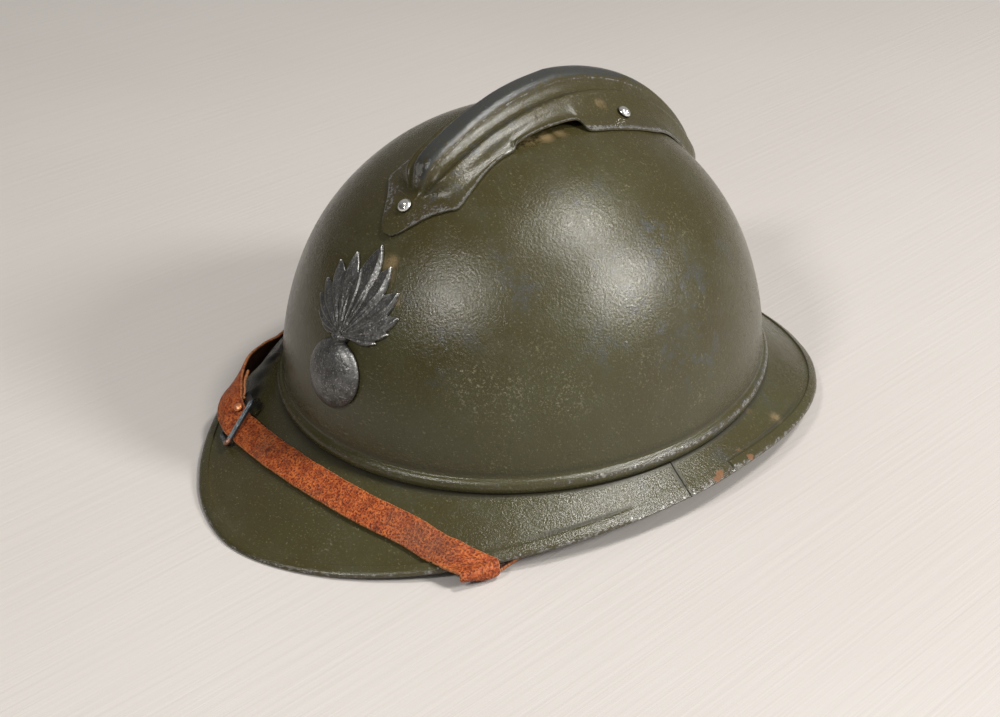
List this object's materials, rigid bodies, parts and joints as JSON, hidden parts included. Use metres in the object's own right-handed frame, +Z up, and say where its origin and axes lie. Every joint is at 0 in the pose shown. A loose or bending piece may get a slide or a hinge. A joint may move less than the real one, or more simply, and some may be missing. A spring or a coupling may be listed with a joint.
{
  "type": "steel helmet",
  "caption": "Combed steel helmet with a raised grenade badge, a brim with a long visor and neck guard, and a buckled leather chin strap laid over the visor.",
  "frame": {"origin": "on the surface that the helmet stands on, under the middle of its brim", "axes": "+Z up along the bowl's axis, -Y towards the visor, +X towards the wearer's left"},
  "size_m": [0.2296, 0.2914, 0.1473],
  "materials": {
    "olive_paint": "worn satin olive paint over pressed steel, rubbed to dark metal on the edges",
    "bright_steel": "bare domed rivet heads, bright with dark tarnish",
    "dark_pewter": "blackened pressed metal with rubbed high spots",
    "brown_leather": "crackled orange-brown leather with frayed edges",
    "black_iron": "dark iron wire with a worn grey sheen",
    "copper": "dull copper stud"
  },
  "bodies": {
    "root": {"bowl": "olive_paint", "comb": "olive_paint", "front_visor": "olive_paint", "neck_guard": "olive_paint", "rivet_front": "bright_steel", "rivet_left": "bright_steel", "rivet_right": "bright_steel", "rivet_rear": "bright_steel", "grenade_badge": "dark_pewter", "chin_strap": "brown_leather", "buckle_frame": "black_iron", "strap_stud": "copper", "strap_loop_left": "black_iron", "strap_loop_right": "black_iron"}
  },
  "joints": []
}
